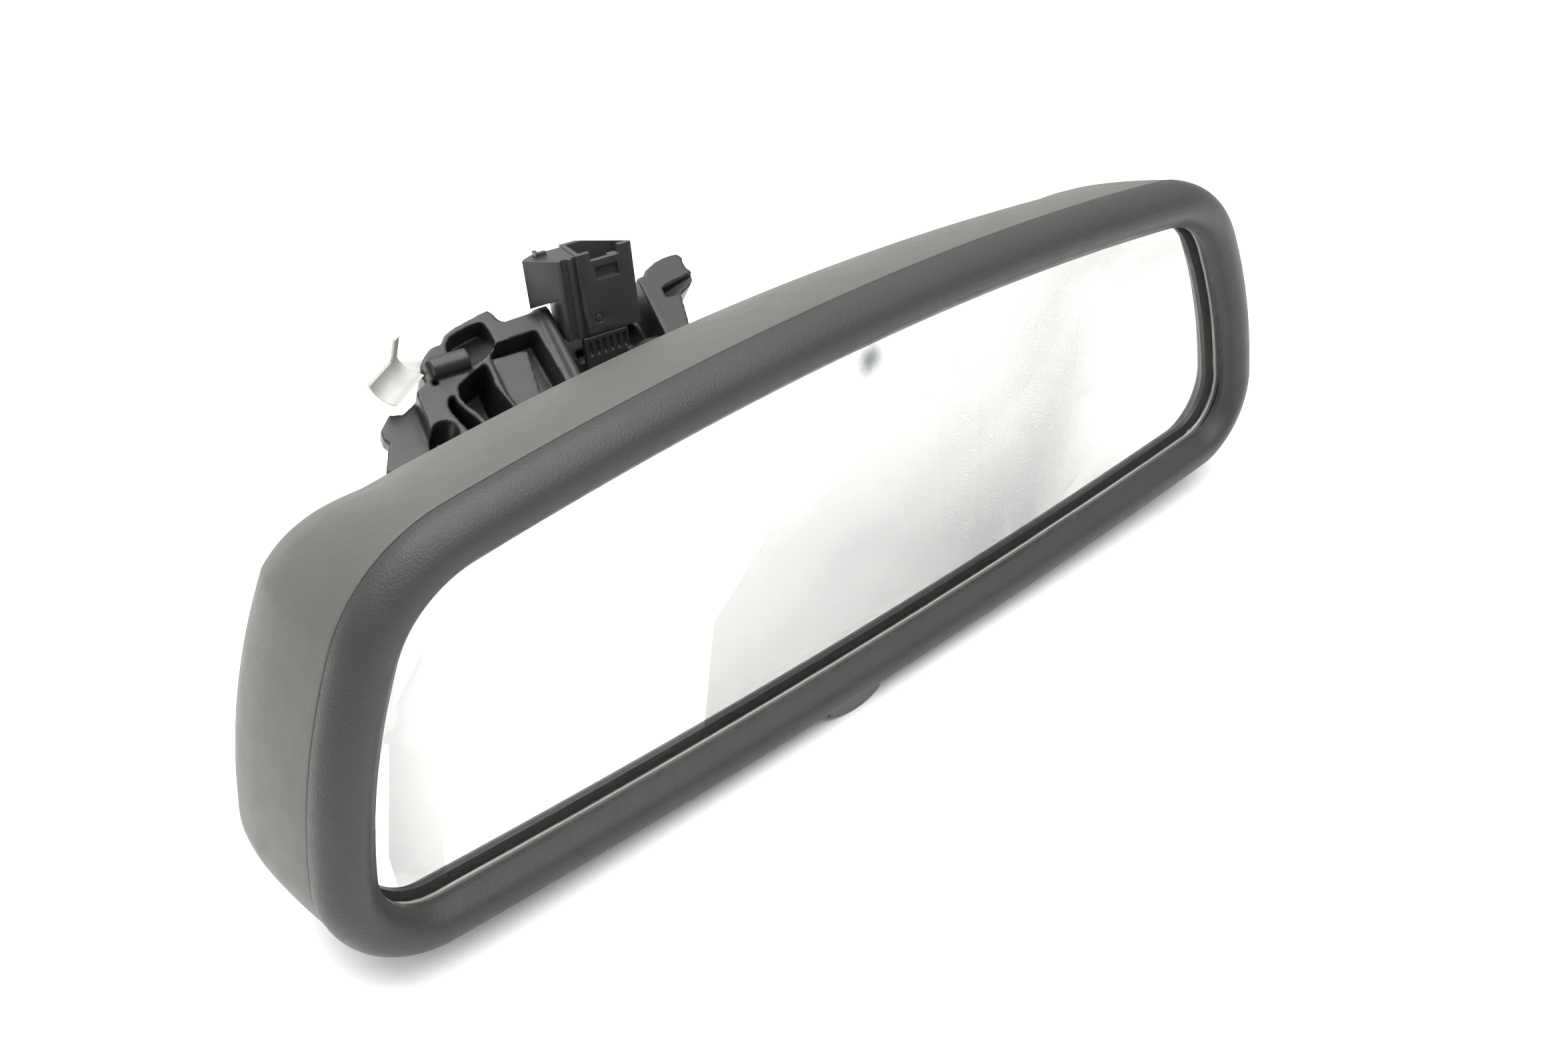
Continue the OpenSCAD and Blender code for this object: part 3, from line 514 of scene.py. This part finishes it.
def clear(name, tint, alpha=None):
    """Polished glass, or with alpha a thin clear layer that does not bend light."""
    p = Paint(name)
    p.colour(p.ramp(p.noise(20, 2), shade(tint, 0.99), tint))
    p.rough(p.ramp(p.noise(40, 2), 0.0, 0.012))
    if alpha is None:
        p.set("Transmission Weight", 1.0)
        p.set("IOR", 1.5)
    else:
        p.set("Alpha", alpha)
    return p.material


# Round window for the glare sensor: how far below the top edge, its radius and its soft rim
SENSOR_DROP = 5.1
SENSOR_R = 3.3
WINDOW_RIM = 0.12
# Spacing of the window's dots
DOT_PITCH = 0.42
PER_SQUARE_MM = 1e6


def silvered():
    """Mirror coating, with the round window for the glare sensor under a fine dotted mesh."""
    p = Paint("silvered_glass")
    centre = (HEAD @ Vector((0, MIRROR_Y, OPENING_H / 2 - SENSOR_DROP))) * MM
    to_head = p.node("ShaderNodeMapping", vector_type="TEXTURE")
    to_head.inputs["Location"].default_value = centre
    to_head.inputs["Rotation"].default_value = (0, 0, math.radians(HEAD_TURN))
    p.link(p.place, to_head.inputs["Vector"])
    split = p.node("ShaderNodeSeparateXYZ")
    p.link(to_head.outputs["Vector"], split.inputs["Vector"])
    x, z = split.outputs["X"], split.outputs["Z"]
    away = p.math("SQRT", p.math("ADD", p.math("MULTIPLY", x, x), p.math("MULTIPLY", z, z)), 0)
    rim = ((SENSOR_R - WINDOW_RIM) * MM, (SENSOR_R + WINDOW_RIM) * MM)
    window = p.ramp(away, 1.0, 0.0, rim)
    dots = [p.math("PINGPONG", v, DOT_PITCH * MM) for v in (x, z)]
    dot_r = p.math("ADD", *[p.math("MULTIPLY", d, d) for d in dots])
    from_dot = p.math("MULTIPLY", dot_r, PER_SQUARE_MM)
    mesh = p.ramp(from_dot, (0.25, 0.275, 0.29), (0.33, 0.355, 0.37), (0.02, 0.09))
    mix = p.node("ShaderNodeMix", data_type="RGBA")
    p.link(window, mix.inputs["Factor"])
    mix.inputs["A"].default_value = (0.985, 0.99, 0.97, 1)
    p.link(mesh, mix.inputs["B"])
    p.colour(mix.outputs["Result"])
    p.link(p.ramp(window, 1.0, 0.0, (0, 1)), p.shader.inputs["Metallic"])
    p.rough(p.ramp(window, 0.0, 0.6, (0, 1)))
    return p.material


def paint(material, *names):
    """Gives a material to CAD nodes or objects."""
    for name in names:
        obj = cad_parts.get(name) or bpy.data.objects[name]
        obj.data.materials.clear()
        obj.data.materials.append(material)


def paint_all():
    paint(moulded("bezel_plastic", (0.022, 0.023, 0.0245), 0.46, 0.035, 0.42, spec=0.34), "bezel_skin")
    paint(moulded("housing_plastic", (0.064, 0.063, 0.058), 0.5, 0.03, 0.36, spec=0.42), "housing_skin")
    paint(clear("clear_glass", (0.97, 1.0, 0.985), 0.008), "front_pane")
    paint(clear("gel", (0.9, 1.0, 0.94), 0.008), "gel_film")
    paint(silvered(), "mirror_pane")
    paint(moulded("seal_epoxy", (0.35, 0.35, 0.33), 0.5), "edge_seal")
    paint(metal("copper_strip", (0.72, 0.45, 0.3), 0.3), "bus_clip_top", "bus_clip_bottom")
    paint(moulded("foam_pad", (0.04, 0.04, 0.042), 0.9, 0.05, 0.6), "bonding_pad")
    paint(moulded("inner_plastic", (0.1, 0.1, 0.11), 0.55), "carrier_plate")
    paint(moulded("board_laminate", (0.02, 0.12, 0.05), 0.3), "circuit_board")
    steel = metal("screw_steel", (0.6, 0.6, 0.62), 0.32)
    paint(steel, "board_screws", "socket_screws", "stalk_screw", "clip_screw")
    paint(moulded("chip_black", (0.02, 0.02, 0.02), 0.45), "glare_sensor", "ambient_sensor")
    paint(bpy.data.materials["chip_black"], "microcontroller", "small_chips")
    paint(moulded("shroud_grey", (0.16, 0.18, 0.21), 0.5), "sensor_shroud")
    paint(clear("guide_clear", (0.95, 0.97, 1.0)), "ambient_light_guide")
    paint(metal("capacitor_can", (0.75, 0.76, 0.78), 0.25), "capacitors")
    paint(moulded("header_nylon", (0.62, 0.6, 0.52), 0.45), "board_header")
    paint(moulded("lead_jacket", (0.015, 0.015, 0.015), 0.45), "head_lead", "foot_lead")
    paint(moulded("button_plastic", (0.05, 0.05, 0.053), 0.38), "mode_button")
    paint(metal("switch_metal", (0.6, 0.6, 0.62), 0.35), "mode_switch")
    paint(moulded("socket_black", (0.03, 0.03, 0.032), 0.45), "socket_housing", "socket_cap")
    paint(moulded("acetal", (0.7, 0.69, 0.63), 0.35), "seat_ring", "pressure_cup")
    paint(metal("spring_steel", (0.6, 0.61, 0.64), 0.3), "pressure_spring")
    paint(moulded("neck_black", (0.02, 0.02, 0.021), 0.35), "neck_cover")
    paint(metal("stalk_metal", (0.5, 0.5, 0.52), 0.4), "ball_stalk")
    paint(moulded("foot_black", (0.021, 0.0208, 0.0203), 0.4, spec=0.4), "foot_carrier")
    paint(moulded("clip_steel", (0.36, 0.357, 0.345), 0.45, 0.004, 0.3), "spring_clip")
    paint(moulded("connector_black", (0.034, 0.034, 0.0345), 0.33, spec=0.45), "connector_shell")
    paint(metal("pin_brass", (0.75, 0.66, 0.42), 0.25), "contact_pins")


# ---------- softened edges of the CAD pieces ----------
def soften(name, width, segments=3):
    """Rounds a CAD node's hard edges."""
    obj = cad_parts[name]
    weld = obj.modifiers.new("weld", "WELD")
    weld.merge_threshold = 0.002 * MM
    flat = obj.modifiers.new("flat", "DECIMATE")
    flat.decimate_type = "DISSOLVE"
    flat.angle_limit = math.radians(1)
    bevel = obj.modifiers.new("bevel", "BEVEL")
    bevel.width = width * MM
    bevel.segments = segments
    bevel.limit_method = "ANGLE"
    bevel.angle_limit = math.radians(35)
    bevel.harden_normals = True
    obj.data.shade_smooth()


def melt(name, voxel, rounds):
    """Blends a CAD node's edges the way a moulding's are."""
    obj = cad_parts[name]
    remesh = obj.modifiers.new("remesh", "REMESH")
    remesh.mode = "VOXEL"
    remesh.voxel_size = voxel * MM
    remesh.use_smooth_shade = True
    smooth = obj.modifiers.new("smooth", "SMOOTH")
    smooth.factor = 0.5
    smooth.iterations = rounds


# ---------- stage ----------
FLOOR_HALF = 3000


def make_floor(level):
    floor = new_object(
        "floor",
        [(x * FLOOR_HALF, y * FLOOR_HALF, level / MM) for x, y in ((-1, -1), (1, -1), (1, 1), (-1, 1))],
        [(0, 1, 2, 3)],
        Matrix.Identity(4),
    )
    p = Paint("floor_white")
    p.colour(p.ramp(p.noise(3, 2), 0.93, 0.95))
    p.rough(p.ramp(p.noise(30, 2), 0.55, 0.65))
    floor.data.materials.append(p.material)
    floor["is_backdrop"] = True


def area_light(name, at, size, power, aim=(0, -0.05, 0)):
    data = bpy.data.lights.new(name, "AREA")
    data.shape = "DISK"
    data.size = size
    data.energy = power
    light = bpy.data.objects.new(name, data)
    light.location = at
    light.rotation_mode = "QUATERNION"
    light.rotation_quaternion = (Vector(aim) - Vector(at)).to_track_quat("-Z", "Y")
    bpy.context.scene.collection.objects.link(light)


def make_lights():
    world = bpy.data.worlds.new("studio")
    world.use_nodes = True
    # bright above, dim towards the horizon, as under a softbox over a white table
    nodes, links = world.node_tree.nodes, world.node_tree.links
    height = nodes.new("ShaderNodeSeparateXYZ")
    links.new(nodes.new("ShaderNodeTexCoord").outputs["Generated"], height.inputs["Vector"])
    glow = nodes.new("ShaderNodeValToRGB")
    for element, position, level in zip(glow.color_ramp.elements, (0.1, 0.7), (0.5, 1.4)):
        element.position = position
        element.color = (level, level * 0.99, level * 0.975, 1)
    links.new(height.outputs["Z"], glow.inputs["Fac"])
    links.new(glow.outputs["Color"], nodes["Background"].inputs["Color"])
    nodes["Background"].inputs["Strength"].default_value = 1.0
    bpy.context.scene.world = world
    area_light("overhead", (-0.2, 0.2, 1.2), 1.2, 20)
    area_light("front", (0.15, -0.6, 0.9), 0.8, 8, (0.05, -0.35, -0.1))
    bpy.context.scene.view_settings.view_transform = "Standard"


# Camera in the head's frame: where it stands, and its right and forward directions
CAMERA_AT = Vector((-160.96, -167.75, 145.83))
CAMERA_RIGHT = Vector((0.750, -0.658, -0.066))
CAMERA_FORWARD = Vector((0.527, 0.655, -0.542))
LENS = 32.83


def make_camera():
    data = bpy.data.cameras.new("camera")
    data.lens = LENS
    data.clip_start = 0.01
    camera = bpy.data.objects.new("camera", data)
    forward = CAMERA_FORWARD.normalized()
    right = (CAMERA_RIGHT - forward * CAMERA_RIGHT.dot(forward)).normalized()
    up = right.cross(forward)
    turn = Matrix((right, up, -forward)).transposed().to_4x4()
    head = HEAD.to_3x3().to_4x4()
    camera.matrix_world = Matrix.Translation((HEAD @ CAMERA_AT) * MM) @ head @ turn
    bpy.context.scene.collection.objects.link(camera)
    bpy.context.scene.camera = camera


make_bezel()
make_housing()
melt("foot_carrier", 0.35, 5)
make_pane("front_pane", "front_glass", GLASS_BITE, FRONT_Y, GLASS_T)
make_pane("gel_film", "electrochromic_gel", GLASS_BITE - GEL_INSET, FRONT_Y + GLASS_T, GEL_T)
make_pane("mirror_pane", "mirror_glass", GLASS_BITE - MIRROR_INSET, MIRROR_Y, GLASS_T)
soften("connector_shell", 0.18)
soften("mode_button", 0.4)
soften("neck_cover", 0.3)
soften("spring_clip", 0.12, 2)
paint_all()
make_floor(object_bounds()[0].z)
make_lights()
make_camera()


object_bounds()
